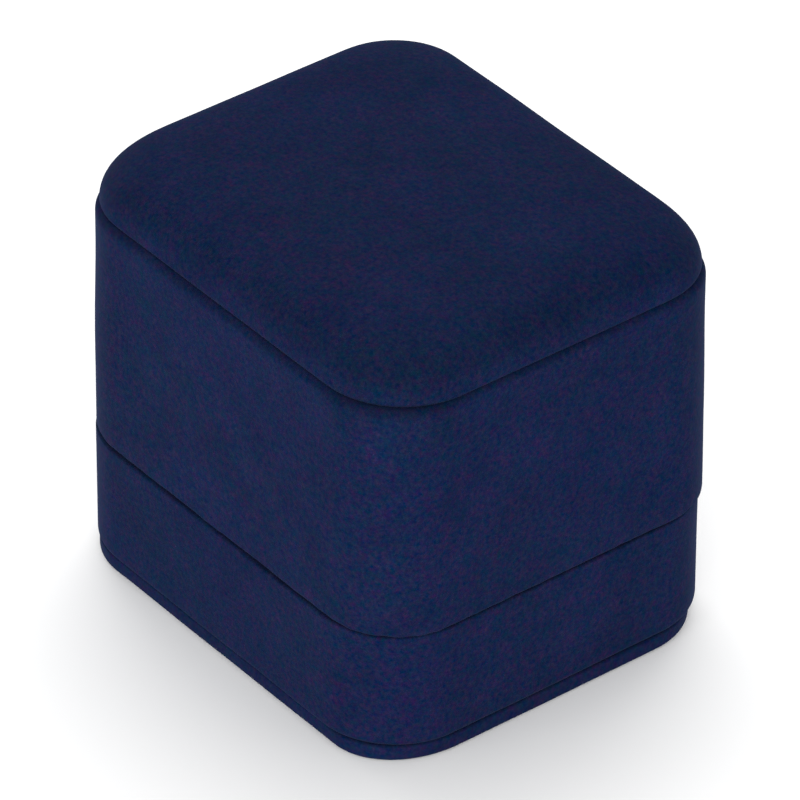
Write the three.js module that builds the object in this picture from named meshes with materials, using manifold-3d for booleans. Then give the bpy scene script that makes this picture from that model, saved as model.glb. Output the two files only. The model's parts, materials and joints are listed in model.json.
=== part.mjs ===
// A velvet ring box, closed: a padded tray and a deep lid on a sprung hinge.
// Millimetres. +X runs across the front, +Y towards the hinge, +Z up.
// The origin is on the table, under the middle of the box.
import * as THREE from "three";
import { mergeVertices } from "three/addons/utils/BufferGeometryUtils.js";
import Module from "manifold-3d";

const wasm = await Module();
wasm.setup();

// ---- Driving dimensions ----
const WIDTH = 60;
const DEPTH = 51;
const CORNER = 10.4; // radius of the upright corners
const CLOTH = 0.6; // velvet with its backing
const GLUE = 0.1; // gap kept between two layers
const WALL = 1.8; // moulded frames
const BOARD = 1; // grey board
const PARTING = 17.4; // height where the lid meets the tray
const SEAM = 0.15; // half of the gap at the parting line
const RIM = PARTING - SEAM; // top of the tray's velvet
const LIP = PARTING + SEAM; // lowest edge of the lid's velvet
const SHOULDER = 48; // top of the lid's wall
const SHOULDER_RADIUS = 1.1;
const BRIM = 53.8; // where the top panel's rounded edge ends
const HEIGHT = 55;

// ---- Insets, measured inwards from the WIDTH x DEPTH outline ----
const TRAY_FACE = -0.1;
const LID_FACE = 0.15;
const LID_FLARE = -0.3; // the lid is a little wider along its lip
const FRAME_FACE = CLOTH + GLUE;
const FRAME_INNER = FRAME_FACE + WALL;
const FLAP_OUTER = FRAME_INNER + GLUE; // velvet turned over the frames' rims
const FLAP_INNER = FLAP_OUTER + CLOTH;
const TURN_IN = 7; // how far glued edges run inwards

// ---- Hinge, along X at the rear ----
const AXIS_Y = 24.3;
const AXIS_Z = PARTING;
const KNUCKLE = 1.2;
const BORE = 0.6;
const PIN = 0.52;
const LEAF = 0.6;
const LEAF_REAR = DEPTH / 2 - FRAME_INNER - GLUE;
const LEAF_FRONT = LEAF_REAR - LEAF;
const LEAF_HALF = 13;
const LEAF_REACH = 9.4; // from the axis to a leaf's far edge
const LEAF_EDGE = 0.3; // from the axis to a leaf's near edge
const MIDDLE_KNUCKLE = 4.8; // half the length of the lid's knuckle
const OUTER_KNUCKLE = 5; // where the tray's knuckles begin
const POCKET_HALF = 14;
const POCKET = 1.5; // clear radius round the axis, inside the pocket
const RELIEF = THREE.MathUtils.degToRad(55);

const SPRING = 0.35;
const SPRING_REAR = LEAF_FRONT - GLUE;
const SPRING_FRONT = SPRING_REAR - SPRING;
const SPRING_BOW = 4; // radius of the bow, round the axis
const SPRING_WIDTH = 16;
const SPRING_REACH = 8.4;

const RIVET_X = 5.5;
const RIVET_REACH = 6.4; // above and below the axis
const RIVET_SHANK = 0.75;
const RIVET_HOLE = 0.85;
const RIVET_HEAD = 1.5;
const RIVET_DOME = 0.7;

const CORNER_STEPS = 4;
const EDGE_STEPS = 3;
const ROUND_STEPS = 20;
const SMALLEST_RADIUS = 0.3;

// ---- Materials ----
function finish(color, roughness, metalness = 0) {
  return new THREE.MeshStandardMaterial({ color, roughness, metalness });
}

const velvet = finish(0x1c2644, 0.95);
const padVelvet = finish(0x1a2340, 0.95);
const satin = finish(0xe6dcc6, 0.5);
const greyboard = finish(0x8b8578, 0.9);
const foam = finish(0xd9cfae, 0.95);
const plastic = finish(0x16181d, 0.5);
const steel = finish(0xb4b2ac, 0.35, 1);

// ---- Outlines ----
const SIGNS = [[1, 1], [-1, 1], [-1, -1], [1, -1]];

function plan(x0, x1, y0, y1, radii) {
  return { x0, x1, y0, y1, radii };
}

const BOX = plan(-WIDTH / 2, WIDTH / 2, -DEPTH / 2, DEPTH / 2, Array(4).fill(CORNER));

// One closed ring of points: the plan's outline moved inwards, raised to z and shrunk by scale.
function ring(shape, inset, z, scale = 1) {
  const middleX = (shape.x0 + shape.x1) / 2;
  const middleY = (shape.y0 + shape.y1) / 2;
  const points = [];
  SIGNS.forEach(([signX, signY], corner) => {
    const radius = Math.max(shape.radii[corner] - inset, SMALLEST_RADIUS);
    const centreX = (signX > 0 ? shape.x1 : shape.x0) - signX * (inset + radius);
    const centreY = (signY > 0 ? shape.y1 : shape.y0) - signY * (inset + radius);
    for (let step = 0; step <= CORNER_STEPS; step += 1) {
      const angle = (corner + step / CORNER_STEPS) * Math.PI / 2;
      const x = centreX + radius * Math.cos(angle) - middleX;
      const y = centreY + radius * Math.sin(angle) - middleY;
      points.push([middleX + x * scale, middleY + y * scale, z]);
    }
  });
  return points;
}

// Joins rings of equal length. A profile row is [inset, z, scale]. With ends, the two end rings
// close on points in the middle at those heights; without, the last ring meets the first.
function loft(shape, profile, ends = null) {
  const rings = profile.map(([inset, z, scale]) => ring(shape, inset, z, scale));
  const size = rings[0].length;
  const positions = rings.flat(2);
  const faces = [];
  const spans = ends ? rings.length - 1 : rings.length;
  for (let row = 0; row < spans; row += 1) {
    const here = row * size;
    const next = ((row + 1) % rings.length) * size;
    for (let i = 0; i < size; i += 1) {
      const j = (i + 1) % size;
      faces.push(here + i, here + j, next + j, here + i, next + j, next + i);
    }
  }
  if (ends) {
    const middle = [(shape.x0 + shape.x1) / 2, (shape.y0 + shape.y1) / 2];
    const first = rings.length * size;
    const last = (rings.length - 1) * size;
    positions.push(...middle, ends[0], ...middle, ends[1]);
    for (let i = 0; i < size; i += 1) {
      const j = (i + 1) % size;
      faces.push(first, j, i, last + i, last + j, first + 1);
    }
  }
  return toBuffer(positions, faces);
}

function toBuffer(positions, faces) {
  const geometry = new THREE.BufferGeometry();
  geometry.setAttribute("position", new THREE.Float32BufferAttribute(positions, 3));
  geometry.setIndex(faces);
  geometry.computeVertexNormals();
  return geometry;
}

// Profile rows along an arc. Angle 0 points outwards and 90 degrees points up.
function arc(inset, z, radius, from, to, steps = EDGE_STEPS) {
  const rows = [];
  for (let step = 0; step <= steps; step += 1) {
    const angle = THREE.MathUtils.degToRad(from + (to - from) * step / steps);
    rows.push([inset - radius * Math.cos(angle), z + radius * Math.sin(angle)]);
  }
  return rows;
}

// ---- Joining and cutting ----
function toSolid(geometry) {
  const bare = geometry.clone();
  bare.deleteAttribute("normal");
  bare.deleteAttribute("uv");
  const merged = mergeVertices(bare, 1e-5);
  const vertProperties = new Float32Array(merged.attributes.position.array);
  const triVerts = new Uint32Array(merged.index.array);
  return new wasm.Manifold(new wasm.Mesh({ numProp: 3, vertProperties, triVerts }));
}

function fromSolid(solid) {
  const mesh = solid.getMesh();
  return toBuffer(Array.from(mesh.vertProperties), Array.from(mesh.triVerts));
}

function cut(geometry, tools) {
  return fromSolid(tools.reduce((solid, tool) => solid.subtract(toSolid(tool)), toSolid(geometry)));
}

function join(parts) {
  return fromSolid(parts.map(toSolid).reduce((whole, part) => whole.add(part)));
}

function block(x0, x1, y0, y1, z0, z1) {
  const box = new THREE.BoxGeometry(x1 - x0, y1 - y0, z1 - z0);
  return box.translate((x0 + x1) / 2, (y0 + y1) / 2, (z0 + z1) / 2);
}

function barrel(radius, x0, x1) {
  const cylinder = new THREE.CylinderGeometry(radius, radius, x1 - x0, ROUND_STEPS);
  return cylinder.rotateZ(Math.PI / 2).translate((x0 + x1) / 2, AXIS_Y, AXIS_Z);
}

// Turns an outline drawn in the Y-Z plane into a prism along X.
function prism(outline, x0, x1) {
  const settings = { depth: x1 - x0, bevelEnabled: false, curveSegments: 12 };
  const body = new THREE.ExtrudeGeometry(outline, settings);
  const turn = new THREE.Matrix4().makeBasis(
    new THREE.Vector3(0, 1, 0), new THREE.Vector3(0, 0, 1), new THREE.Vector3(1, 0, 0));
  return body.applyMatrix4(turn).translate(x0, 0, 0);
}

function rivetHoles(side) {
  const length = 5; // through the wall, the leaf and the spring
  return [-RIVET_X, RIVET_X].map((x) => {
    const hole = new THREE.CylinderGeometry(RIVET_HOLE, RIVET_HOLE, length, ROUND_STEPS);
    return hole.translate(x, LEAF_REAR, AXIS_Z + side * RIVET_REACH);
  });
}

// ---- Shared shapes ----
function plate(shape, inset, z0, z1) {
  return loft(shape, [[inset, z0], [inset, z1]], [z0, z1]);
}

// Rows that rise from a cushion's rounded edge to its middle: [share of the height, scale].
const DOME = [[0.55, 0.75], [0.95, 0.3]];

function dome(inset, brim, crown) {
  return DOME.map(([share, scale]) => [inset, brim + crown * share, scale]);
}

// A cover drawn over a cushion: domed, rounded along its upper edge and turned under at its foot.
function cushionCover(shape, { inset, foot, brim, crown, edge, tuck, turn }) {
  const inner = edge - CLOTH;
  const profile = [
    ...dome(inset + edge, brim - CLOTH, crown).reverse(),
    ...arc(inset + edge, brim - edge, inner, 90, 0),
    [inset + CLOTH, foot + CLOTH],
    [inset + turn, foot + CLOTH],
    [inset + turn, foot],
    ...arc(inset + tuck, foot + tuck, tuck, -90, 0, 2).slice(0, -1),
    ...(brim - edge > foot + tuck ? [[inset, foot + tuck]] : []),
    ...arc(inset + edge, brim - edge, edge, 0, 90),
    ...dome(inset + edge, brim, crown),
  ];
  return loft(shape, profile, [brim + crown - CLOTH, brim + crown]);
}

// The foam under such a cover, from its underside at height base.
function cushionFoam(shape, { inset, brim, crown, edge }, base) {
  const gap = CLOTH + 2 * GLUE;
  const radius = edge - gap;
  const rise = base - (brim - edge);
  const from = rise > 0 ? THREE.MathUtils.radToDeg(Math.asin(rise / radius)) : 0;
  const profile = [
    ...(rise < 0 ? [[inset + gap, base]] : []),
    ...arc(inset + edge, brim - edge, radius, from, 90),
    ...dome(inset + edge, brim - gap, crown),
  ];
  return loft(shape, profile, [base, brim + crown - gap]);
}

// ---- Cuts shared by both halves ----
const pocket = block(
  -POCKET_HALF, POCKET_HALF, LEAF_FRONT - 1, DEPTH / 2 + 2, AXIS_Z - POCKET, AXIS_Z + POCKET);

function flapWindow(z0, z1) {
  return block(-POCKET_HALF, POCKET_HALF, LEAF_FRONT - 1, LEAF_REAR + GLUE / 2, z0, z1);
}

// A groove that widens outwards from the axis, so that the two rear edges never meet.
function rearRelief() {
  const reach = 4;
  const spread = reach * Math.tan(RELIEF);
  const outline = new THREE.Shape([
    new THREE.Vector2(AXIS_Y, AXIS_Z),
    new THREE.Vector2(AXIS_Y + reach, AXIS_Z - spread),
    new THREE.Vector2(AXIS_Y + reach, AXIS_Z + spread),
  ]);
  return prism(outline, -WIDTH, WIDTH);
}

// ---- Bottom panel ----
const PANEL_INSET = 0.3;
const PANEL_TOP = 2.1;
const PANEL_ROUNDING = 0.5;

function bottomCover() {
  const inner = PANEL_INSET + CLOTH;
  const centre = PANEL_INSET + PANEL_ROUNDING;
  return loft(BOX, [
    ...arc(centre, PANEL_ROUNDING, PANEL_ROUNDING, -90, 0),
    ...arc(centre, PANEL_TOP - PANEL_ROUNDING, PANEL_ROUNDING, 0, 90),
    [TURN_IN, PANEL_TOP],
    [TURN_IN, PANEL_TOP - CLOTH],
    [inner, PANEL_TOP - CLOTH],
    [inner, CLOTH],
  ], [0, CLOTH]);
}

function bottomBoard() {
  return plate(BOX, PANEL_INSET + CLOTH + 2 * GLUE, CLOTH + GLUE / 2, PANEL_TOP - CLOTH - GLUE / 2);
}

// ---- Tray ----
const TRAY_FOOT = PANEL_TOP + GLUE;
const FRAME_FOOT = TRAY_FOOT + CLOTH + GLUE;
const FLOOR_WALL = 1.6; // floor of the tray's frame
const FRAME_FLOOR = FRAME_FOOT + FLOOR_WALL;
const FRAME_RIM = RIM - CLOTH - GLUE;
const FLAP_FOOT = 12;
const FOOT_CHAMFER = 1.2;

function trayFrame() {
  const cup = loft(BOX, [
    [FRAME_FACE + FOOT_CHAMFER, FRAME_FOOT],
    [FRAME_FACE, FRAME_FOOT + FOOT_CHAMFER],
    [FRAME_FACE, FRAME_RIM],
    [FRAME_INNER, FRAME_RIM],
    [FRAME_INNER, FRAME_FLOOR],
  ], [FRAME_FOOT, FRAME_FLOOR]);
  return cut(cup, [pocket, ...rivetHoles(-1)]);
}

function trayWrap() {
  const foot = 1.4;
  const edge = 0.8;
  const back = FRAME_FACE - GLUE;
  const sleeve = loft(BOX, [
    [TURN_IN, TRAY_FOOT],
    ...arc(TRAY_FACE + foot, TRAY_FOOT + foot, foot, -90, 0),
    ...arc(TRAY_FACE + edge, RIM - edge, edge, 0, 90, 3),
    [FLAP_INNER - SMALLEST_RADIUS, RIM],
    [FLAP_INNER, RIM - SMALLEST_RADIUS],
    [FLAP_INNER, FLAP_FOOT],
    [FLAP_OUTER, FLAP_FOOT],
    [FLAP_OUTER, RIM - CLOTH],
    [back, RIM - CLOTH],
    [back, FRAME_FOOT + FOOT_CHAMFER],
    [back + FOOT_CHAMFER - GLUE / 2, TRAY_FOOT + CLOTH],
    [TURN_IN, TRAY_FOOT + CLOTH],
  ]);
  return cut(sleeve, [pocket, flapWindow(FLAP_FOOT - 1, PARTING), rearRelief()]);
}

// ---- Ring pads ----
const PAD_GAP = 0.3;
const PAD_INSET = FLAP_INNER + PAD_GAP;
const PAD_FOOT = FRAME_FLOOR + 2 * GLUE + BOARD;
const SLOT_HALF = 0.8; // half the width of the slot that grips the ring
const NOTCH_Y = 19.6; // the rear pad is cut back here, behind it stands the spring
const PAD = {
  inset: 0, foot: PAD_FOOT, brim: 15.6, crown: 0.8, edge: 2.6, tuck: 0.6, turn: 3,
};
const PAD_REAR = DEPTH / 2 - PAD_INSET;
const PAD_SIDE = WIDTH / 2 - PAD_INSET;
const PAD_CORNER = CORNER - PAD_INSET;
const LIP_CORNER = 1.5;
const FRONT_PAD = plan(
  -PAD_SIDE, PAD_SIDE, -PAD_REAR, -SLOT_HALF, [LIP_CORNER, LIP_CORNER, PAD_CORNER, PAD_CORNER]);
const REAR_PAD = plan(
  -PAD_SIDE, PAD_SIDE, SLOT_HALF, PAD_REAR, [PAD_CORNER, PAD_CORNER, LIP_CORNER, LIP_CORNER]);
const PAD_FOAM_FOOT = PAD_FOOT + CLOTH + GLUE;
const springNotch = block(-POCKET_HALF, POCKET_HALF, NOTCH_Y, DEPTH, 0, HEIGHT);
const foamNotch = block(-POCKET_HALF - CLOTH, POCKET_HALF + CLOTH, NOTCH_Y - CLOTH, DEPTH, 0, HEIGHT);

// ---- Lid ----
const CEILING = SHOULDER - FRAME_FACE - WALL;
const LID_RIM = LIP + CLOTH + GLUE;
const LID_FLAP_TOP = 23;
const LINING_GAP = 0.2;
const LINING_OUTER = FLAP_INNER + LINING_GAP;
const LINING_INNER = LINING_OUTER + CLOTH;
const LINING_FOOT = 19.2;
const LINING_TOP = 44;
const WINDOW_FRONT = 20; // the lining is cut away here, round the spring and its rivets
const WINDOW_TOP = 27.5;

function lidFrame() {
  const spring = SHOULDER - SHOULDER_RADIUS;
  const radius = SHOULDER_RADIUS - FRAME_FACE;
  const cup = loft(BOX, [
    [FRAME_INNER, CEILING],
    [FRAME_INNER, LID_RIM],
    [FRAME_FACE, LID_RIM],
    ...arc(SHOULDER_RADIUS, spring, radius, 0, 90, 3),
  ], [CEILING, spring + radius]);
  return cut(cup, [pocket, ...rivetHoles(1)]);
}

function lidWrap() {
  const edge = 0.8;
  const spring = SHOULDER - SHOULDER_RADIUS;
  const back = FRAME_FACE - GLUE;
  const flareEnd = 32;
  const sleeve = loft(BOX, [
    ...arc(LID_FLARE + edge, LIP + edge, edge, -90, 0, 3),
    [LID_FACE, flareEnd],
    ...arc(LID_FACE + SHOULDER_RADIUS, spring, SHOULDER_RADIUS, 0, 90),
    [TURN_IN, SHOULDER],
    [TURN_IN, SHOULDER - CLOTH],
    ...arc(SHOULDER_RADIUS, spring, SHOULDER_RADIUS - back, 90, 0),
    [back, LIP + CLOTH],
    [FLAP_OUTER, LIP + CLOTH],
    [FLAP_OUTER, LID_FLAP_TOP],
    [FLAP_INNER, LID_FLAP_TOP],
    [FLAP_INNER, LIP + SMALLEST_RADIUS],
    [FLAP_INNER - SMALLEST_RADIUS, LIP],
  ]);
  return cut(sleeve, [pocket, flapWindow(PARTING, LID_FLAP_TOP + 1), rearRelief()]);
}

function lidLining() {
  const sleeve = loft(BOX, [
    [LINING_OUTER, LINING_FOOT],
    [LINING_OUTER, LINING_TOP],
    [LINING_INNER, LINING_TOP],
    [LINING_INNER, LINING_FOOT],
  ]);
  const clearance = block(-POCKET_HALF, POCKET_HALF, WINDOW_FRONT, DEPTH, 0, WINDOW_TOP);
  return cut(sleeve, [clearance]);
}

// The satin cushion under the lid's ceiling, drawn upright here and turned over in the lid.
const LID_PAD = {
  inset: LINING_INNER + LINING_GAP, foot: 0, brim: 4, crown: 1, edge: 3, tuck: 0.5, turn: TURN_IN,
};
const LID_PAD_TOP = CEILING - GLUE;
const LID_PAD_BOARD = [CLOTH + GLUE, CLOTH + GLUE + BOARD];

// ---- Top panel ----
const TOP_CORNER = 11.6;
const TOP_OUTLINE = plan(-29.7, 29.4, -24.5, 25.2, Array(4).fill(TOP_CORNER));
const TOP_PANEL = {
  inset: 0, foot: SHOULDER + GLUE, brim: BRIM, crown: HEIGHT - BRIM, edge: 5, tuck: 0.5, turn: 8,
};
const TOP_BOARD = [SHOULDER + CLOTH + 2 * GLUE, SHOULDER + CLOTH + 2 * GLUE + BOARD];

// ---- Hinge ----
// A leaf with a row of knuckles. side is -1 for the tray's leaf and 1 for the lid's.
function leaf(side, knuckles) {
  const height = (near, far) => [AXIS_Z + side * near, AXIS_Z + side * far].sort((a, b) => a - b);
  const back = block(-LEAF_HALF, LEAF_HALF, LEAF_FRONT, LEAF_REAR, ...height(LEAF_EDGE, LEAF_REACH));
  const tongues = knuckles.map(([x0, x1]) => (
    block(x0, x1, LEAF_FRONT, AXIS_Y, ...height(LEAF_EDGE, LEAF_EDGE + LEAF))));
  const rolled = knuckles.map(([x0, x1]) => barrel(KNUCKLE, x0, x1));
  const bore = barrel(BORE, -WIDTH, WIDTH);
  return cut(join([back, ...tongues, ...rolled]), [bore, ...rivetHoles(side)]);
}

function hingePin() {
  const end = LEAF_HALF + GLUE;
  const head = 0.3;
  const headRadius = 0.9;
  const outline = [[0, -end - head], [headRadius, -end - head], [headRadius, -end], [PIN, -end],
    [PIN, end], [headRadius, end], [headRadius, end + head], [0, end + head]];
  const points = outline.map(([radius, y]) => new THREE.Vector2(radius, y));
  return new THREE.LatheGeometry(points, ROUND_STEPS);
}

// A steel band that bows round the axis: it holds the lid shut, and then open.
function snapSpring() {
  const innerRadius = SPRING_BOW - SPRING / 2;
  const outerRadius = SPRING_BOW + SPRING / 2;
  const innerAngle = Math.acos((SPRING_REAR - AXIS_Y) / innerRadius);
  const outerAngle = Math.acos((SPRING_FRONT - AXIS_Y) / outerRadius);
  const outline = new THREE.Shape();
  outline.moveTo(SPRING_REAR, AXIS_Z - SPRING_REACH);
  outline.absarc(AXIS_Y, AXIS_Z, innerRadius, -innerAngle, innerAngle - 2 * Math.PI, true);
  outline.lineTo(SPRING_REAR, AXIS_Z + SPRING_REACH);
  outline.lineTo(SPRING_FRONT, AXIS_Z + SPRING_REACH);
  outline.absarc(AXIS_Y, AXIS_Z, outerRadius, outerAngle, 2 * Math.PI - outerAngle, false);
  outline.lineTo(SPRING_FRONT, AXIS_Z - SPRING_REACH);
  const band = prism(outline, -SPRING_WIDTH / 2, SPRING_WIDTH / 2);
  return cut(band, [...rivetHoles(-1), ...rivetHoles(1)]);
}

// A round-headed rivet along Y, with its head towards the front.
function rivet() {
  const under = SPRING_FRONT - GLUE - LEAF_REAR;
  const tail = DEPTH / 2 - FRAME_FACE - GLUE - LEAF_REAR;
  const domed = [0, 30, 60].map((degrees) => {
    const angle = THREE.MathUtils.degToRad(degrees);
    return [RIVET_HEAD * Math.sin(angle), under - RIVET_DOME * Math.cos(angle)];
  });
  const outline = [...domed, [RIVET_HEAD, under], [RIVET_SHANK, under], [RIVET_SHANK, tail], [0, tail]];
  return new THREE.LatheGeometry(outline.map(([radius, y]) => new THREE.Vector2(radius, y)), ROUND_STEPS);
}

// ---- Assembly ----
function add(group, name, geometry, material) {
  const mesh = new THREE.Mesh(geometry, material);
  mesh.name = name;
  group.add(mesh);
  return mesh;
}

const ringBox = new THREE.Group();
const tray = new THREE.Group();
const lid = new THREE.Group();
ringBox.add(tray, lid);

add(tray, "bottom_cover", bottomCover(), velvet);
add(tray, "bottom_board", bottomBoard(), greyboard);
add(tray, "base_frame", trayFrame(), plastic);
add(tray, "base_wrap", trayWrap(), velvet);
add(tray, "pad_board", plate(BOX, PAD_INSET, FRAME_FLOOR + GLUE, FRAME_FLOOR + GLUE + BOARD), greyboard);
add(tray, "pad_foam_front", cushionFoam(FRONT_PAD, PAD, PAD_FOAM_FOOT), foam);
add(tray, "pad_foam_rear", cut(cushionFoam(REAR_PAD, PAD, PAD_FOAM_FOOT), [foamNotch]), foam);
add(tray, "pad_cover_front", cushionCover(FRONT_PAD, PAD), padVelvet);
add(tray, "pad_cover_rear", cut(cushionCover(REAR_PAD, PAD), [springNotch]), padVelvet);
add(tray, "hinge_leaf_base", leaf(-1, [[-LEAF_HALF, -OUTER_KNUCKLE], [OUTER_KNUCKLE, LEAF_HALF]]), steel);
add(tray, "snap_spring", snapSpring(), steel);

const pin = add(tray, "hinge_pin", hingePin(), steel);
pin.rotation.z = Math.PI / 2;
pin.position.set(0, AXIS_Y, AXIS_Z);

add(lid, "lid_frame", lidFrame(), plastic);
add(lid, "lid_wrap", lidWrap(), velvet);
add(lid, "lid_lining", lidLining(), velvet);
add(lid, "hinge_leaf_lid", leaf(1, [[-MIDDLE_KNUCKLE, MIDDLE_KNUCKLE]]), steel);
add(lid, "top_board", plate(TOP_OUTLINE, TOP_PANEL.inset + CLOTH + 3 * GLUE, ...TOP_BOARD), greyboard);
add(lid, "top_foam", cushionFoam(TOP_OUTLINE, TOP_PANEL, TOP_BOARD[1] + GLUE), foam);
add(lid, "top_cover", cushionCover(TOP_OUTLINE, TOP_PANEL), velvet);

const cushion = new THREE.Group();
cushion.rotation.x = Math.PI;
cushion.position.z = LID_PAD_TOP;
lid.add(cushion);
add(cushion, "lid_pad_board", plate(BOX, LID_PAD.inset + CLOTH + 3 * GLUE, ...LID_PAD_BOARD), greyboard);
add(cushion, "lid_pad_foam", cushionFoam(BOX, LID_PAD, LID_PAD_BOARD[1] + GLUE), foam);
add(cushion, "lid_pad_cover", cushionCover(BOX, LID_PAD), satin);

for (const [group, half, side] of [[tray, "base", -1], [lid, "lid", 1]]) {
  for (const [hand, x] of [["left", -RIVET_X], ["right", RIVET_X]]) {
    const fastener = add(group, `rivet_${half}_${hand}`, rivet(), steel);
    fastener.position.set(x, LEAF_REAR, AXIS_Z + side * RIVET_REACH);
  }
}

export default ringBox;
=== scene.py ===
"""Looks for a navy velvet ring box: velvet drawn over its tray, lid and panels, ring pads, a satin cushion
and a sprung steel hinge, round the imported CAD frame. Lengths here are millimetres until a mesh is made."""
import json
import math

import bmesh
import bpy
import numpy as np
from mathutils import Matrix, Vector, noise


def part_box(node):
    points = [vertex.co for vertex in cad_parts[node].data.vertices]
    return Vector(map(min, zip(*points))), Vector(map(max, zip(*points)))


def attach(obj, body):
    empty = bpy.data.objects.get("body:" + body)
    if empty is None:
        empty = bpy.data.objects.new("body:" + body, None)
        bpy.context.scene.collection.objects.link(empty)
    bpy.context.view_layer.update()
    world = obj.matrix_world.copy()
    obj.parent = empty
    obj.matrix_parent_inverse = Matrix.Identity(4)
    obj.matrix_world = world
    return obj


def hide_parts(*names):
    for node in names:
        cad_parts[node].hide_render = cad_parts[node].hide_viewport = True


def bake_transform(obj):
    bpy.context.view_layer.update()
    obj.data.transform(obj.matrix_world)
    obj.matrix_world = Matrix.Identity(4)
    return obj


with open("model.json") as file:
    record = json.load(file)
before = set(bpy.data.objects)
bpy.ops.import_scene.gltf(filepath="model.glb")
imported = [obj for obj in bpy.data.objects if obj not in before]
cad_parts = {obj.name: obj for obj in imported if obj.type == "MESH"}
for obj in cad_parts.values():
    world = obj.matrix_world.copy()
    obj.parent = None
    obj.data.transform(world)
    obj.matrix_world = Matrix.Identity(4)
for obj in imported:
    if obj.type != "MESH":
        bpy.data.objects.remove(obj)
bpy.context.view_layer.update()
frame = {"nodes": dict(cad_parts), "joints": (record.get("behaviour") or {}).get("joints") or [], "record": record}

MM = 0.001


# ---- Sizes, from the frame ----
def span(node):
    """Lowest and highest corner of a CAD node, in millimetres."""
    low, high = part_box(node)
    return np.array(low) / MM, np.array(high) / MM


WIDTH = 60.0
DEPTH = 51.0
CORNER = 10.4
CLOTH = 0.6  # thickness of the velvet
FLAP_OUTER = 2.6  # how far inside the outline the velvet is turned over the walls
FLAP_INNER = FLAP_OUTER + CLOTH
FOLD = 0.4  # radius of the velvet's fold over a wall's inner edge
TURN_IN = 7.0  # how far the velvet is turned in under a panel

AXIS_Y, AXIS_Z = (value / MM for value in frame["joints"][0]["pos_m"][1:])
PANEL_TOP = span("bottom_cover")[1][2]
TRAY_LOW, TRAY_HIGH = span("base_wrap")
LID_LOW, LID_HIGH = span("lid_wrap")
LINING_LOW, LINING_HIGH = span("lid_lining")
CUSHION_LOW, CUSHION_HIGH = span("lid_pad_cover")
FRONT_PAD_LOW, FRONT_PAD_HIGH = span("pad_cover_front")
REAR_PAD_LOW, REAR_PAD_HIGH = span("pad_cover_rear")
SPRING_LOW, SPRING_HIGH = span("snap_spring")
LEAF_FRONT = span("hinge_leaf_base")[0][1]

LID_TIGHT = 0.2  # the lid's velvet is drawn in this much from the box's outline
FRAY_REACH = 0.75  # how far from the edge of the cloth its points wander
FRAY = ((2.6, 0.09), (1.1, 0.08))  # sizes of the wanderings and how far they go
RELIEF = math.radians(57)  # slope of the rear edges on both sides of the hinge
RELIEF_FADE = 6.0  # the height over which the rear edges return to level
POCKET_HALF = 13.9  # half the width of the gap for the hinge
POCKET = 1.45  # clear radius round the hinge axis
POCKET_REACH = 3.0  # how far the pocket runs past the hinge axis into the other half
POCKET_FRONT = 21.4
POCKET_REAR = 27.5
FLAP_FACE = 22.96  # the velvet's flap is cut away up to here, where the hinge leaves lie on the walls
SHARP = 0.02  # rounding of a cut whose edges stay crisp

# ---- Outlines ----
SIGNS = ((1, 1), (-1, 1), (-1, -1), (1, -1))
CORNER_STEPS = 14
SIDE_STEPS = 18
FINE = 3  # times as many points round an outline whose edges show the pile
SMALLEST_RADIUS = 0.35


class Plan:
    """A rectangle with rounded corners, anticlockwise from the one at +X +Y. A corner is a radius or,
    where it is drawn out along one side, a pair of radii along X and Y. growth is how much the radii
    change for each millimetre that a ring is moved inwards."""

    def __init__(self, x0, x1, y0, y1, radii, fineness=1, growth=-1.0):
        self.x0, self.x1, self.y0, self.y1 = x0, x1, y0, y1
        self.radii = radii
        self.growth = growth
        self.corner_steps = CORNER_STEPS * fineness
        self.side_steps = SIDE_STEPS * fineness

    def ring(self, inset, z, scale=1.0):
        """Points round the outline, moved inwards by inset and drawn towards the middle by scale."""
        middle = np.array([(self.x0 + self.x1) / 2, (self.y0 + self.y1) / 2])
        arcs = []
        for corner, (sign_x, sign_y) in enumerate(SIGNS):
            radius = np.maximum(np.array(self.radii[corner]) + self.growth * inset, SMALLEST_RADIUS)
            edge = np.array([self.x1 if sign_x > 0 else self.x0, self.y1 if sign_y > 0 else self.y0])
            centre = edge - np.array([sign_x, sign_y]) * (inset + radius)
            angles = (corner + np.arange(self.corner_steps + 1) / self.corner_steps) * math.pi / 2
            arcs.append(centre + np.stack([np.cos(angles), np.sin(angles)], 1) * radius)
        points = []
        share = (np.arange(1, self.side_steps) / self.side_steps)[:, None]
        for corner, arc_points in enumerate(arcs):
            after = arcs[(corner + 1) % 4][0]
            points.append(arc_points)
            points.append(arc_points[-1] * (1 - share) + after * share)
        flat = middle + (np.concatenate(points) - middle) * scale
        return np.column_stack([flat, np.full(len(flat), z)])


def plan(width, depth, radii, shift=(0.0, 0.0), **settings):
    """An outline of that size, whose middle is moved by shift."""
    x, y = shift
    return Plan(x - width / 2, x + width / 2, y - depth / 2, y + depth / 2, radii, **settings)


BOX_PLAN = plan(WIDTH, DEPTH, [CORNER] * 4)
PANEL_PLAN = plan(59.8, 50.0, [10.0, 10.0, 9.9, (8.8, 11.0)], (-0.05, -0.3), fineness=FINE)
TRAY_PLAN = plan(59.9, 51.35, [CORNER] * 4, fineness=FINE)
LID_PLAN = plan(
    WIDTH - 2 * LID_TIGHT, DEPTH - 2 * LID_TIGHT, [9.1, 9.1, 10.1, 9.1], (0.0, 0.05), fineness=FINE)
TOP_PLAN = plan(59.2, 49.85, [9.4, 7.8, 9.9, 10.5], (-0.2, 0.38), growth=0.7)


def arc(inset, z, radius, start, stop, steps, rise=None):
    """Profile rows along an arc. Angle 0 points outwards and 90 degrees points up."""
    rise = radius if rise is None else rise
    angles = np.radians(np.linspace(start, stop, steps + 1))
    return [(inset - radius * math.cos(a), z + rise * math.sin(a)) for a in angles]


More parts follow.
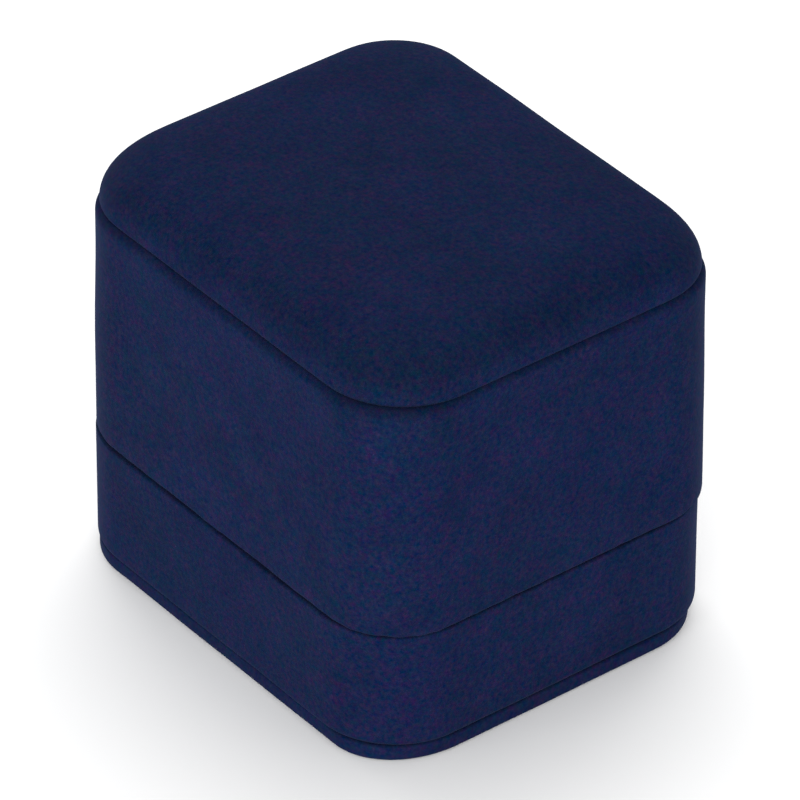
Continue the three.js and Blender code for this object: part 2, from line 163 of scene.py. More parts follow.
def line(start, stop, steps):
    """Profile rows along a straight stretch, without its two ends."""
    shares = np.arange(1, steps) / steps
    return [tuple((1 - s) * np.array(start) + s * np.array(stop)) for s in shares]


# ---- Meshes ----
def new_piece(name, positions, faces):
    mesh = bpy.data.meshes.new(name)
    mesh.from_pydata([tuple(p * MM) for p in positions], [], faces)
    mesh.update()
    piece = bpy.data.objects.new(name, mesh)
    bpy.context.scene.collection.objects.link(piece)
    return piece


def loft(name, outline, profile, ends=None):
    """Joins rings into a closed surface. With ends, the end rings close on points at those heights."""
    rings = [outline.ring(*row) for row in profile]
    size = len(rings[0])
    positions = list(np.concatenate(rings))
    faces = []
    spans = len(rings) - 1 if ends else len(rings)
    for row in range(spans):
        here, after = row * size, (row + 1) % len(rings) * size
        for i in range(size):
            j = (i + 1) % size
            faces.append((here + i, here + j, after + j, after + i))
    if ends:
        middle = np.array([(outline.x0 + outline.x1) / 2, (outline.y0 + outline.y1) / 2])
        first, last = len(positions), (len(rings) - 1) * size
        positions += [np.append(middle, z) for z in ends]
        for i in range(size):
            j = (i + 1) % size
            faces.append((first, j, i))
            faces.append((last + i, last + j, first + 1))
    return new_piece(name, positions, faces)


def coords(mesh):
    values = np.empty(len(mesh.vertices) * 3, np.float32)
    mesh.vertices.foreach_get("co", values)
    return values.reshape(-1, 3).astype(float)


def set_coords(mesh, values):
    mesh.vertices.foreach_set("co", values.astype(np.float32).ravel())
    mesh.update()


def apply_modifiers(piece):
    graph = bpy.context.evaluated_depsgraph_get()
    mesh = bpy.data.meshes.new_from_object(piece.evaluated_get(graph))
    piece.modifiers.clear()
    old, piece.data = piece.data, mesh
    name = old.name
    bpy.data.meshes.remove(old)
    mesh.name = name


def modify(piece, kind, **settings):
    modifier = piece.modifiers.new(kind.lower(), kind)
    for key, value in settings.items():
        setattr(modifier, key, value)
    apply_modifiers(piece)


def wobble(piece, amount, size, seed):
    """Moves each point a little along its normal, smoothly over the surface, as stretched cloth lies."""
    mesh = piece.data
    points = coords(mesh)
    normals = np.empty(len(mesh.vertices) * 3, np.float32)
    mesh.vertices.foreach_get("normal", normals)
    shift = Vector((seed * 7.3, seed * 3.1, seed * 5.7))
    values = [noise.noise(Vector(p) / (size * MM) + shift) for p in points]
    set_coords(mesh, points + normals.reshape(-1, 3) * np.array(values)[:, None] * amount * MM)


def fray(piece, height, seed):
    """Lets the edge of the cloth at that height wander a little, as the pile does."""
    points = coords(piece.data) / MM
    near = np.flatnonzero(np.abs(points[:, 2] - height) < FRAY_REACH)
    shift = Vector((seed * 2.9, seed * 6.1, seed * 4.3))
    for size, amount in FRAY:
        for i in near:
            points[i, 2] += amount * noise.noise(Vector(points[i]) / size + shift)
    set_coords(piece.data, points * MM)


def relieve(piece, side, edge):
    """Slopes the rear edge away from the hinge axis. side is 1 for the lid and -1 for the tray."""
    points = coords(piece.data) / MM
    behind = points[:, 1] - AXIS_Y
    lift = np.maximum(0.0, behind * math.tan(RELIEF) - side * (edge - AXIS_Z))
    away = side * (points[:, 2] - edge)
    fade = np.clip(1 - away / RELIEF_FADE, 0, 1)
    points[:, 2] += side * lift * fade
    set_coords(piece.data, points * MM)


def cutter(low, high, rounding):
    """A block with rounded edges, for a boolean cut."""
    mesh = bpy.data.meshes.new("cutter")
    shape = bmesh.new()
    bmesh.ops.create_cube(shape, size=1.0)
    size = (np.array(high) - np.array(low)) * MM
    centre = (np.array(high) + np.array(low)) / 2 * MM
    bmesh.ops.scale(shape, vec=size, verts=shape.verts)
    bmesh.ops.translate(shape, vec=centre, verts=shape.verts)
    bmesh.ops.bevel(
        shape, geom=shape.edges[:], offset=rounding * MM, segments=3, affect="EDGES", profile=0.5)
    shape.to_mesh(mesh)
    shape.free()
    block = bpy.data.objects.new("cutter", mesh)
    bpy.context.scene.collection.objects.link(block)
    return block


def cut(piece, low, high, rounding=0.4):
    block = cutter(low, high, rounding)
    modify(piece, "BOOLEAN", object=block, operation="DIFFERENCE", solver="EXACT")
    bpy.data.objects.remove(block)


def shade(piece, angle=40):
    """Smooth shading, with creases where faces meet at more than the angle."""
    mesh = piece.data
    shape = bmesh.new()
    shape.from_mesh(mesh)
    limit = math.radians(angle)
    for edge in shape.edges:
        edge.smooth = edge.is_manifold and edge.calc_face_angle(0.0) < limit
    for face in shape.faces:
        face.smooth = True
    shape.to_mesh(mesh)
    shape.free()


# ---- Cloth ----
SIM_SCALE = 20.0  # the solver is steadier on something the size of a sofa cushion
SIM_FRAMES = 20
VOXEL = 0.7


def remesh(piece):
    """Rebuilds a cushion with even faces, so that the cloth bends alike everywhere."""
    piece.data.transform(Matrix.Scale(SIM_SCALE, 4))
    modify(piece, "REMESH", mode="VOXEL", voxel_size=VOXEL * MM * SIM_SCALE)
    modify(piece, "SMOOTH", factor=0.5, iterations=6)
    piece.data.transform(Matrix.Scale(1 / SIM_SCALE, 4))


def inflate(piece, pressure, cap, held, tension=15.0, shrink=0.0):
    """Puffs a closed mesh by cloth simulation, no point further than cap. held takes points in millimetres
    and says which stay put."""
    start = coords(piece.data)
    group = piece.vertex_groups.new(name="held")
    group.add([int(i) for i in np.flatnonzero(held(start / MM))], 1.0, "REPLACE")
    piece.data.transform(Matrix.Scale(SIM_SCALE, 4))
    modifier = piece.modifiers.new("cloth", "CLOTH")
    settings = modifier.settings
    settings.quality = 6
    settings.mass = 0.3
    settings.tension_stiffness = tension
    settings.compression_stiffness = tension
    settings.shear_stiffness = tension / 3
    settings.bending_stiffness = 2.0
    settings.use_pressure = True
    settings.uniform_pressure_force = pressure
    settings.shrink_min = shrink
    settings.effector_weights.gravity = 0.0
    settings.vertex_group_mass = "held"
    scene = bpy.context.scene
    for number in range(1, SIM_FRAMES + 1):
        scene.frame_set(number)
    apply_modifiers(piece)
    scene.frame_set(1)
    piece.vertex_groups.clear()
    moved = coords(piece.data) / SIM_SCALE - start
    reach = np.linalg.norm(moved, axis=1)
    share = np.minimum(1.0, cap * MM / np.maximum(reach, 1e-9))
    set_coords(piece.data, start + moved * share[:, None])


# ---- Materials ----
class Shader:
    """A Principled material and short calls for the nodes that feed it."""

    def __init__(self, name):
        self.material = bpy.data.materials.new(name)
        self.material.use_nodes = True
        self.tree = self.material.node_tree
        self.surface = self.tree.nodes["Principled BSDF"]
        self.place = self.tree.nodes.new("ShaderNodeTexCoord").outputs["Object"]

    def set(self, **values):
        for key, value in values.items():
            self.surface.inputs[key.replace("_", " ")].default_value = value

    def link(self, output, target):
        self.tree.links.new(output, target)

    def noise(self, size, detail=2.0, roughness=0.5, stretch=(1, 1, 1), distortion=0.0, output="Fac"):
        """Noise with features of that size, in millimetres."""
        scale = self.tree.nodes.new("ShaderNodeMapping")
        scale.inputs["Scale"].default_value = tuple(s / (size * MM) for s in stretch)
        self.link(self.place, scale.inputs["Vector"])
        node = self.tree.nodes.new("ShaderNodeTexNoise")
        node.inputs["Scale"].default_value = 1.0
        node.inputs["Detail"].default_value = detail
        node.inputs["Roughness"].default_value = roughness
        node.inputs["Distortion"].default_value = distortion
        self.link(scale.outputs["Vector"], node.inputs["Vector"])
        return node.outputs[output]

    def remap(self, value, low, high, to_low, to_high):
        node = self.tree.nodes.new("ShaderNodeMapRange")
        for key, number in (
                ("From Min", low), ("From Max", high), ("To Min", to_low), ("To Max", to_high)):
            node.inputs[key].default_value = number
        self.link(value, node.inputs["Value"])
        return node.outputs["Result"]

    def spread(self, colour, amounts):
        """Turns noise into factors round 1, one for each channel, by that channel's own amount."""
        node = self.tree.nodes.new("ShaderNodeVectorMath")
        node.operation = "MULTIPLY_ADD"
        self.link(colour, node.inputs[0])
        node.inputs[1].default_value = tuple(amounts)
        node.inputs[2].default_value = tuple(1 - amount / 2 for amount in amounts)
        return node.outputs["Vector"]

    def bend(self):
        """1 where the surface slopes at 45 degrees, as on a panel's rounded edge, 0 where it is level or
        upright. It masks the velvet's painted edge shade."""
        normal = self.tree.nodes.new("ShaderNodeTexCoord").outputs["Normal"]
        parts = self.tree.nodes.new("ShaderNodeSeparateXYZ")
        self.link(normal, parts.inputs["Vector"])
        rise = self.math("ABSOLUTE", parts.outputs["Z"], 0.0)
        level = self.math("MULTIPLY", rise, rise)
        return self.math("MULTIPLY", self.math("MULTIPLY", level, self.math("SUBTRACT", 1.0, level)), 4.0)

    def mix(self, share, first, second, blend="MIX"):
        node = self.tree.nodes.new("ShaderNodeMix")
        node.data_type = "RGBA"
        node.blend_type = blend
        self.fill(node.inputs["Factor"], share)
        self.fill(node.inputs["A"], first)
        self.fill(node.inputs["B"], second)
        return node.outputs["Result"]

    def math(self, operation, first, second):
        node = self.tree.nodes.new("ShaderNodeMath")
        node.operation = operation
        self.fill(node.inputs[0], first)
        self.fill(node.inputs[1], second)
        return node.outputs["Value"]

    def fill(self, target, value):
        if isinstance(value, bpy.types.NodeSocket):
            self.link(value, target)
        elif isinstance(value, tuple):
            target.default_value = (*value, 1.0)
        else:
            target.default_value = value

    def bump(self, height, depth, strength=1.0, under=None):
        node = self.tree.nodes.new("ShaderNodeBump")
        node.inputs["Strength"].default_value = strength
        node.inputs["Distance"].default_value = depth * MM
        self.link(height, node.inputs["Height"])
        if under is not None:
            self.link(under, node.inputs["Normal"])
        return node.outputs["Normal"]


def velvet(name, blue):
    """Short-pile velvet: flecked with teal and violet fibres, cloudy where the nap lies differently, and
    darker where it turns over an edge, which is painted shade in its colour."""
    shader = Shader(name)
    fleck = shader.noise(FLECK, detail=2.5, roughness=0.6, output="Color")
    clump = shader.noise(CLUMP, detail=1.0)
    drift = shader.noise(DRIFT, detail=1.0, output="Color")
    pile = shader.noise(PILE, detail=1.0)
    nap = shader.noise(NAP, detail=3, roughness=0.55, distortion=0.4)
    colour = blue
    for grain, amounts in ((fleck, FLECK_SPREAD), (clump, CLUMP_SPREAD), (drift, DRIFT_SPREAD)):
        colour = shader.mix(1.0, colour, shader.spread(grain, amounts), "MULTIPLY")
    light = shader.remap(pile, 0.3, 0.7, 0.86, 1.14)
    cloud = shader.remap(nap, 0.3, 0.7, 0.90, 1.10)
    colour = shader.mix(1.0, colour, shader.math("MULTIPLY", light, cloud), "MULTIPLY")
    # painted shade: the colour is darkened on sloping, rounded edges
    colour = shader.mix(shader.bend(), colour, shader.mix(1.0, colour, EDGE_SHADE, "MULTIPLY"))
    shader.link(colour, shader.surface.inputs["Base Color"])
    soft = shader.bump(nap, 0.10, 0.4)
    shader.link(shader.bump(pile, 0.04, 0.6, under=soft), shader.surface.inputs["Normal"])
    shader.set(
        Roughness=1.0, Specular_IOR_Level=0.0, Sheen_Weight=SHEEN_WEIGHT, Sheen_Roughness=0.42,
        Sheen_Tint=(*SHEEN_TINT, 1.0))
    return shader.material


def satin_cloth(name):
    """Ivory satin: fine warp threads under a soft gloss."""
    shader = Shader(name)
    warp = shader.noise(0.09, detail=2, stretch=(1, 0.02, 1))
    weft = shader.noise(0.14, detail=1, stretch=(0.04, 1, 1))
    slub = shader.noise(0.35, detail=2, stretch=(1, 0.05, 1))
    tone = shader.noise(9.0, detail=2)
    thread = shader.math("ADD", shader.math("MULTIPLY", warp, 0.7), shader.math("MULTIPLY", weft, 0.3))
    colour = shader.mix(shader.remap(thread, 0.35, 0.65, 0, 1), (0.66, 0.59, 0.47), (0.78, 0.71, 0.58))
    colour = shader.mix(shader.remap(tone, 0.35, 0.65, 0.0, 0.20), colour, (0.64, 0.56, 0.44))
    colour = shader.mix(shader.remap(slub, 0.62, 0.75, 0.0, 0.35), colour, (0.86, 0.80, 0.68))
    shader.link(colour, shader.surface.inputs["Base Color"])
    shader.link(shader.bump(thread, 0.012, 0.5), shader.surface.inputs["Normal"])
    shader.link(shader.remap(tone, 0.3, 0.7, 0.40, 0.50), shader.surface.inputs["Roughness"])
    shader.set(Sheen_Weight=0.3, Sheen_Roughness=0.3, Anisotropic=0.35, Specular_IOR_Level=0.45)
    return shader.material


def spring_steel(name):
    """Rolled strip with fine lengthwise lines and a few dull patches."""
    shader = Shader(name)
    grain = shader.noise(0.12, detail=3, roughness=0.6, stretch=(0.04, 1, 1))
    dull = shader.noise(3.0, detail=3)
    colour = shader.mix(shader.remap(dull, 0.35, 0.7, 0, 1), (0.50, 0.49, 0.47), (0.40, 0.39, 0.37))
    shader.link(colour, shader.surface.inputs["Base Color"])
    shader.link(shader.remap(grain, 0.3, 0.7, 0.24, 0.40), shader.surface.inputs["Roughness"])
    shader.link(shader.bump(grain, 0.01, 0.5), shader.surface.inputs["Normal"])
    shader.set(Metallic=1.0)
    return shader.material


def plain_grain(name, dark, pale, size, roughness, depth):
    """Board, foam or moulded plastic: one colour with a grain of that size."""
    shader = Shader(name)
    grain = shader.noise(size, detail=4, roughness=0.65)
    colour = shader.mix(shader.remap(grain, 0.3, 0.7, 0, 1), dark, pale)
    shader.link(colour, shader.surface.inputs["Base Color"])
    shader.link(shader.bump(grain, depth, 0.7), shader.surface.inputs["Normal"])
    shader.link(
        shader.remap(grain, 0.3, 0.7, roughness - 0.06, roughness + 0.06),
        shader.surface.inputs["Roughness"])
    return shader.material


FLECK = 0.55  # sizes of the velvet's features, from single tufts to broad drifts of colour
CLUMP = FLECK * 2.8
PILE = 0.22
NAP = 6.5
DRIFT = 17.0
FLECK_SPREAD = (4.5, 1.8, 0.6)  # how far each one's red, green and blue vary
CLUMP_SPREAD = (1.9, -0.4, 0.1)  # red rises where green falls: violet and teal take turns
DRIFT_SPREAD = (0.40, 0.28, 0.16)
# painted shade: the velvet's colour on rounded edges is multiplied by this
EDGE_SHADE = (0.84, 0.91, 0.83)
SHEEN_WEIGHT = 0.085
SHEEN_TINT = (0.34, 0.42, 0.68)

OUTER_VELVET = velvet("navy_velvet", (0.0058, 0.0093, 0.0343))
PAD_VELVET = velvet("pad_velvet", (0.0050, 0.0081, 0.0302))
SATIN = satin_cloth("ivory_satin")
STEEL = spring_steel("spring_steel")
BOARD = plain_grain("grey_board", (0.22, 0.20, 0.17), (0.32, 0.30, 0.26), 0.8, 0.88, 0.05)
FOAM = plain_grain("soft_foam", (0.60, 0.53, 0.35), (0.74, 0.68, 0.48), 0.5, 0.92, 0.15)
PLASTIC = plain_grain("moulded_plastic", (0.007, 0.008, 0.011), (0.011, 0.012, 0.016), 0.35, 0.48, 0.02)


def place(piece, material, slot, body, *nodes):
    """Gives a finished piece its material and body, and hides the CAD nodes that it stands for. slot is not used.
    """
    piece.data.materials.clear()
    piece.data.materials.append(material)
    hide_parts(*nodes)
    if body:
        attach(piece, body)


# ---- Bottom panel ----
def bottom_panel():
    edge = 0.4
    upper_edge = edge * 0.8
    top = PANEL_TOP - 0.08
    under = top - CLOTH
    profile = [
        *[(inset, 0.0) for inset in (9.0, 5.0, 2.2)],
        *arc(edge, edge, edge, -90, 0, 5),
        *arc(upper_edge, top - upper_edge, upper_edge, 0, 90, 5),
        *[(inset, top) for inset in (2.0, 4.0, 6.5)],
        *arc(TURN_IN, top - CLOTH / 2, -CLOTH / 2, 90, -90, 4)[1:],
        *[(inset, under) for inset in (5.0, 3.0)],
        (CLOTH + 0.15, under),
        (CLOTH, under - 0.1),
        (CLOTH, CLOTH + 0.1),
        (CLOTH + 0.15, CLOTH),
    ]
    piece = loft("bottom_panel_velvet", PANEL_PLAN, profile, (0.0, CLOTH))
    wobble(piece, amount=0.04, size=9, seed=1)
    settle(piece)
    shade(piece)
    place(piece, OUTER_VELVET, "velvet_outer", "base", "bottom_cover")


def settle(piece):
    """Nothing reaches below the floor that the box stands on."""
    points = coords(piece.data)
    points[:, 2] = np.maximum(points[:, 2], 0.0)
    set_coords(piece.data, points)


# ---- Tray ----
FOLD_TURN = (0, 0.5, 1.0, math.pi / 2)  # angles of the rows round a fold


def tray_velvet():
    face, rim, foot = -0.11, TRAY_HIGH[2] + 0.32, TRAY_LOW[2] - 0.13
    foot_edge, rim_edge, flap_foot = 0.9, 0.3, 12.0
    under = rim - CLOTH
    heel = 4.1  # where the inside of the velvet starts to turn in under the tray
    profile = [
        *[(inset, foot) for inset in (TURN_IN, 5.0, 3.0)],
        *arc(face + foot_edge, foot + foot_edge, foot_edge, -90, 0, 6),
        *line((face, foot + foot_edge), (face, rim - rim_edge), 9),
        *arc(face + rim_edge, rim - rim_edge, rim_edge, 0, 90, 6),
        *line((face + rim_edge, rim), (FLAP_INNER - FOLD, rim), 7),
        (FLAP_INNER - FOLD, rim - 2 * FOLD),  # a fine groove runs round the rim here
        *[
            (FLAP_INNER - FOLD + FOLD * math.sin(a), rim - FOLD + FOLD * math.cos(a))
            for a in FOLD_TURN[1:]],
        *line((FLAP_INNER, rim - FOLD), (FLAP_INNER, flap_foot), 3),
        (FLAP_INNER, flap_foot),
        (FLAP_OUTER, flap_foot),
        *line((FLAP_OUTER, flap_foot), (FLAP_OUTER, under), 3),
        (FLAP_OUTER, under),
        *line((FLAP_OUTER, under), (CLOTH, under), 6),
        (CLOTH, under),
        *line((CLOTH, under), (CLOTH, heel), 6),
        (CLOTH, heel),
        (CLOTH + 1.0, foot + CLOTH),
        *[(inset, foot + CLOTH) for inset in (3.0, 5.0, TURN_IN)],
    ]
    piece = loft("tray_velvet", TRAY_PLAN, profile)
    wobble(piece, amount=0.07, size=11, seed=2)
    fray(piece, rim, seed=2)
    relieve(piece, -1, rim)
    above = AXIS_Z + POCKET_REACH
    cut(piece, (-POCKET_HALF, POCKET_FRONT, AXIS_Z - POCKET), (POCKET_HALF, POCKET_REAR, above))
    cut(piece, (-POCKET_HALF, POCKET_FRONT, flap_foot - 1), (POCKET_HALF, FLAP_FACE, above), SHARP)
    shade(piece)
    place(piece, OUTER_VELVET, "velvet_outer", "base", "base_wrap")


# ---- Lid ----
def lid_velvet():
    lip, shoulder = LID_LOW[2] + 0.17, LID_HIGH[2] + 0.12
    lip_edge, shoulder_edge = 0.55, 1.0
    flare, flare_bend, flare_top = -0.37, 32.0, 42.0
    flap_outer, flap_inner, flap_top = FLAP_OUTER - LID_TIGHT, FLAP_INNER - LID_TIGHT, 23.0
    over = lip + CLOTH
    profile = [
        *arc(flare + lip_edge, lip + lip_edge, lip_edge, -90, 0, 6),
        *line((flare, lip + lip_edge), (flare * 0.7, flare_bend), 8),
        *line((flare * 0.7, flare_bend), (0.0, flare_top), 6),
        *line((0.0, flare_top), (0.0, shoulder - shoulder_edge), 5),
        *arc(shoulder_edge, shoulder - shoulder_edge, shoulder_edge, 0, 90, 6),
        *[(inset, shoulder) for inset in (2.5, 4.0, 5.5)],
        (TURN_IN, shoulder),
        (TURN_IN, shoulder - CLOTH),
        *[(inset, shoulder - CLOTH) for inset in (5.0, 3.0)],
        *arc(shoulder_edge, shoulder - shoulder_edge, shoulder_edge - CLOTH, 90, 0, 4),
        *line((CLOTH, shoulder - shoulder_edge), (CLOTH, over), 8),
        (CLOTH, over),
        *line((CLOTH, over), (flap_outer, over), 6),
        (flap_outer, over),
        *line((flap_outer, over), (flap_outer, flap_top), 3),
        (flap_outer, flap_top),
        (flap_inner, flap_top),
        *line((flap_inner, flap_top), (flap_inner, lip + FOLD), 3),
        *[
            (flap_inner - FOLD + FOLD * math.cos(a), lip + FOLD - FOLD * math.sin(a))
            for a in FOLD_TURN],
        *line((flap_inner - FOLD, lip), (flare + lip_edge, lip), 7),
    ]
    piece = loft("lid_velvet", LID_PLAN, profile)
    wobble(piece, amount=0.07, size=12, seed=3)
    fray(piece, lip, seed=3)
    relieve(piece, 1, lip)
    below = AXIS_Z - POCKET_REACH
    cut(piece, (-POCKET_HALF, POCKET_FRONT, below), (POCKET_HALF, POCKET_REAR + 0.3, AXIS_Z + POCKET))
    cut(piece, (-POCKET_HALF, POCKET_FRONT, below), (POCKET_HALF, FLAP_FACE, flap_top + 1), SHARP)
    shade(piece)
    place(piece, OUTER_VELVET, "velvet_outer", "lid", "lid_wrap")


def lid_lining():
    outer, foot, top = 3.4, LINING_LOW[2], LINING_HIGH[2]
    inner = outer + CLOTH
    half = CLOTH / 2
    foot_turn = (math.pi / 2, 2.36, 2.9)
    profile = [
        *[(outer + half + half * math.cos(a), foot + half - half * math.sin(a)) for a in foot_turn],
        (outer, foot + half + 0.1),
        *line((outer, foot + half), (outer, top), 6),
        (outer, top),
        (inner, top),
        *line((inner, top), (inner, foot + half), 14),
        (inner, foot + half),
        (inner - 0.08, foot + 0.12),
    ]
    piece = loft("lid_lining_velvet", BOX_PLAN, profile)
    wobble(piece, amount=0.10, size=8, seed=4)
    cut(piece, (-POCKET_HALF, 19.5, foot - 2), (POCKET_HALF, 27.0, 27.4), 1.2)
    shade(piece)
    place(piece, PAD_VELVET, "velvet_pad", "lid", "lid_lining")


# ---- Padded pieces ----
CROWN_RINGS = (0.9, 0.78, 0.64, 0.5, 0.35, 0.2)  # scales of the rings on a cushion's domed top
CROWN_POWER = 2.2
CUSHION_CORNER = CORNER - 4.2


def pillow_profile(inset, foot, brim, crown, edge, tuck, rise=None):
    """A closed cushion: flat foot, rounded edges and a domed middle. rise is the height of the upper edge's
    arc, where it isn't as high as it is wide."""
    rise = edge if rise is None else rise
    return [
        *[(inset + tuck, foot, s) for s in (0.35, 0.7)],
        *arc(inset + tuck, foot + tuck, tuck, -90, 0, 3),
        *line((inset, foot + tuck), (inset, brim - rise), 3),
        *arc(inset + edge, brim - rise, edge, 0, 90, 8, rise),
        *[(inset + edge, brim + crown * (1 - s ** CROWN_POWER), s) for s in CROWN_RINGS],
    ], (foot, brim + crown)


def top_panel():
    foot, brim, crown = LID_HIGH[2] + 0.05, 54.1, 0.7
    tuck, edge = 0.45, 6.4
    side = 0.28  # height of the upright band over the tuck
    profile, ends = pillow_profile(0.0, foot, brim, crown, edge, tuck, brim - foot - tuck - side)
    piece = loft("top_panel_velvet", TOP_PLAN, profile, ends)
    inflate(piece, 2.0, 0.35, held=lambda points: points[:, 2] < brim - 0.2)
    modify(piece, "SUBSURF", levels=1, render_levels=1)
    wobble(piece, amount=0.05, size=10, seed=5)
    shade(piece, 80)
    place(piece, OUTER_VELVET, "velvet_outer", "lid", "top_cover")


def ring_pad(name, low, high, side, node, seed):
    """One of the two pads that grip the ring. side is -1 for the front one and 1 for the rear one."""
    outer, lip = CORNER - 3.5, 1.5
    radii = [outer, outer, lip, lip] if side > 0 else [lip, lip, outer, outer]
    outline = Plan(low[0], high[0], low[1], high[1], radii)
    brim, edge = 15.7, 2.4
    profile, ends = pillow_profile(0.05, low[2], brim, 0.7, edge, 0.5)
    piece = loft(name, outline, profile, ends)
    remesh(piece)
    if side > 0:
        cut(piece, (-POCKET_HALF, high[1] - 2.3, 0), (POCKET_HALF, high[1] + 3, 30), 0.9)
        remesh(piece)
    inflate(piece, 3.0, 0.5, held=lambda points: points[:, 2] < brim - 0.5)
    modify(piece, "SUBSURF", levels=1, render_levels=1)
    wobble(piece, amount=0.08, size=6, seed=seed)
    shade(piece, 80)
    place(piece, PAD_VELVET, "velvet_pad", "base", node)


def lid_cushion():
    low, high = CUSHION_LOW, CUSHION_HIGH
    outline = Plan(low[0], high[0], low[1], high[1], [CUSHION_CORNER] * 4)
    profile, ends = pillow_profile(0.0, -high[2], -low[2] - 1.0, 0.8, 3.0, 0.5)
    piece = loft("lid_cushion_satin", outline, profile, ends)
    piece.data.transform(Matrix.Rotation(math.pi, 4, "X"))
    remesh(piece)
    inflate(
        piece, 4.0, 0.6, held=lambda points: points[:, 2] > high[2] - 1.5, tension=8.0, shrink=-0.03)
    modify(piece, "SUBSURF", levels=1, render_levels=1)
    shade(piece, 80)
    place(piece, SATIN, "satin", "lid", "lid_pad_cover")


# ---- Hinge ----
BAND = 0.35  # thickness of the spring band
BAND_GAP = 0.1  # between the band and the leaf behind it
BAND_MIDDLE = LEAF_FRONT - BAND_GAP - BAND / 2
BOW = 4.0  # radius of the band's bow round the hinge axis
BOW_STEPS = 18
LEG_STEPS = 6
BOW_HALF = 3.5  # half the height of the bow's open side, where the straight legs begin
COLUMNS = 6  # faces across the band


def band_line():
    """Points in Y and Z along the middle of the band: a leg on the tray, the bow, a leg on the lid."""
    reach = (SPRING_HIGH[2] - SPRING_LOW[2]) / 2
    opening = math.acos((BAND_MIDDLE - AXIS_Y) / BOW)
    angles = np.linspace(-opening, opening - 2 * math.pi, BOW_STEPS + 1)
    leg = reach - BOW_HALF
    tray_leg = [(BAND_MIDDLE, AXIS_Z - reach + i * leg / LEG_STEPS) for i in range(LEG_STEPS)]
    bow = [(AXIS_Y + BOW * math.cos(a), AXIS_Z + BOW * math.sin(a)) for a in angles]
    lid_leg = [(BAND_MIDDLE, AXIS_Z + BOW_HALF + i * leg / LEG_STEPS) for i in range(1, LEG_STEPS + 1)]
    return np.array(tray_leg + bow + lid_leg)


def band_faces(rows):
    """Faces of the band's two sides, then of its long edges, row by row, and of its two ends last."""
    width = COLUMNS + 1
    other = rows * width
    faces = []
    for row in range(rows - 1):
        for column in range(COLUMNS):
            a = row * width + column
            faces.append((a, a + 1, a + width + 1, a + width))
            faces.append((other + a, other + a + width, other + a + width + 1, other + a + 1))
        for column, flip in ((0, False), (COLUMNS, True)):
            a = row * width + column
            face = (a, a + width, other + a + width, other + a)
            faces.append(face[::-1] if flip else face)
    for row, flip in ((0, True), (rows - 1, False)):
        for column in range(COLUMNS):
            a = row * width + column
            face = (a, a + 1, other + a + 1, other + a)
            faces.append(face[::-1] if flip else face)
    return faces


def spring_band():
    """The bowed steel band, its edges rounded, bent round the hinge axis."""
    centre = band_line()
    along = np.gradient(centre, axis=0)
    along /= np.linalg.norm(along, axis=1)[:, None]
    normal = np.column_stack([-along[:, 1], along[:, 0]])
    half_width = (SPRING_HIGH[0] - SPRING_LOW[0]) / 2
    columns = np.linspace(-half_width, half_width, COLUMNS + 1)
    positions = []
    for side in (-0.5, 0.5):
        for point, outwards in zip(centre, normal):
            y, z = point + outwards * side * BAND
            positions += [np.array([x, y, z]) for x in columns]
    piece = new_piece("spring_band", positions, band_faces(len(centre)))
    modify(
        piece, "BEVEL", width=0.08 * MM, segments=2, limit_method="ANGLE", angle_limit=math.radians(50))
    shade(piece)
    place(piece, STEEL, "hinge_steel", None, "snap_spring")
    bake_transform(piece)


def finish_nodes():
    """Gives each CAD node that stays its material."""
    looks = {"hinge_steel": STEEL, "greyboard": BOARD, "foam": FOAM, "frame_plastic": PLASTIC}
    for part in frame["record"]["subparts"]:
        look = looks.get(part["material_slot"])
        if look is not None:
            mesh = frame["nodes"][part["node"]].data
            mesh.materials.clear()
            mesh.materials.append(look)


bottom_panel()
tray_velvet()
lid_velvet()
lid_lining()
top_panel()
ring_pad("ring_pad_front", FRONT_PAD_LOW, FRONT_PAD_HIGH, -1, "pad_cover_front", 6)
ring_pad("ring_pad_rear", REAR_PAD_LOW, REAR_PAD_HIGH, 1, "pad_cover_rear", 7)
lid_cushion()
spring_band()
finish_nodes()


# ---- Floor, light and camera ----
FLOOR_SIZE = 4.0
FLOOR_DEPTH = 0.00005  # the floor lies this much under the box, so that their faces don't coincide
LAMP_AIM = Vector((0, 0, 0.026))
SKY = 0.75


def studio_floor():
    bpy.ops.mesh.primitive_plane_add(size=FLOOR_SIZE, location=(0, 0, -FLOOR_DEPTH))
    floor = bpy.context.object
    floor.name = "floor"
    shader = Shader("pale_floor")
    tone = shader.noise(60.0, detail=2)
    colour = shader.mix(tone, (0.86, 0.86, 0.86), (0.88, 0.88, 0.88))
    shader.link(colour, shader.surface.inputs["Base Color"])
    shader.set(Roughness=0.9, Specular_IOR_Level=0.1)
    floor.data.materials.append(shader.material)


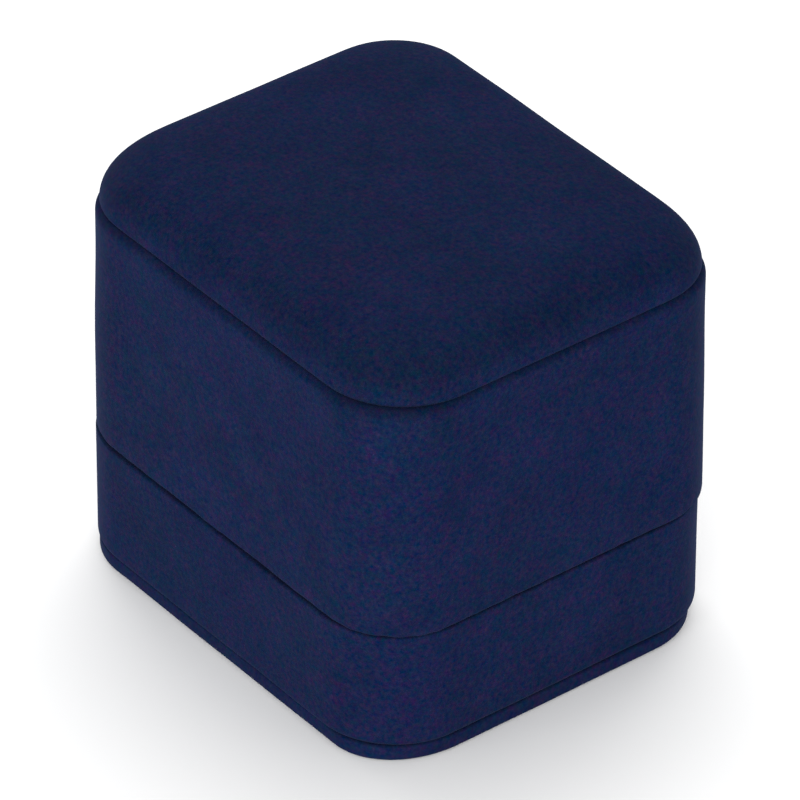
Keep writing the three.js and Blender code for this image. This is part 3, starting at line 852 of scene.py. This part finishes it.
def direction(azimuth, elevation):
    """Unit vector from the box towards that azimuth and elevation. Azimuth 0 is the front."""
    a, e = math.radians(azimuth), math.radians(elevation)
    return Vector((math.sin(a) * math.cos(e), -math.cos(a) * math.cos(e), math.sin(e)))


def softbox(name, azimuth, elevation, distance, size, power):
    light = bpy.data.lights.new(name, "AREA")
    light.shape = "SQUARE"
    light.size = size
    light.energy = power
    lamp = bpy.data.objects.new(name, light)
    towards = direction(azimuth, elevation)
    lamp.location = LAMP_AIM + towards * distance
    lamp.rotation_mode = "QUATERNION"
    lamp.rotation_quaternion = towards.to_track_quat("Z", "Y")
    bpy.context.scene.collection.objects.link(lamp)


def studio_light():
    world = bpy.data.worlds.new("studio")
    world.use_nodes = True
    background = world.node_tree.nodes["Background"]
    background.inputs["Color"].default_value = (1.0, 1.0, 1.0, 1.0)
    background.inputs["Strength"].default_value = SKY
    bpy.context.scene.world = world
    softbox("key_light", azimuth=52, elevation=3, distance=0.9, size=0.6, power=12.7)
    softbox("side_light", azimuth=0, elevation=8, distance=0.9, size=0.6, power=2.9)
    softbox("rear_light", azimuth=232, elevation=50, distance=0.9, size=1.0, power=7.3)
    bpy.context.scene.view_settings.view_transform = "Standard"


def camera():
    azimuth, elevation, roll = 51.68, 35.69, math.radians(0.33)
    distance, lens, sensor = 930.8, 366.8, 36.0
    slide_right, slide_down = 0.486, 0.933
    back = direction(azimuth, elevation)
    level = Vector((0, 0, 1)).cross(back).normalized()
    upright = back.cross(level)
    right = level * math.cos(roll) + upright * math.sin(roll)
    up = upright * math.cos(roll) - level * math.sin(roll)
    aim = Vector((0, 0, 26.0)) + right * slide_right - up * slide_down
    data = bpy.data.cameras.new("camera")
    data.lens = lens
    data.sensor_width = sensor
    data.clip_start, data.clip_end = 0.01, 20.0
    eye = bpy.data.objects.new("camera", data)
    pose = Matrix((right, up, back)).transposed().to_4x4()
    pose.translation = (aim + back * distance) * MM
    eye.matrix_world = pose
    bpy.context.scene.collection.objects.link(eye)
    bpy.context.scene.camera = eye


studio_floor()
studio_light()
camera()
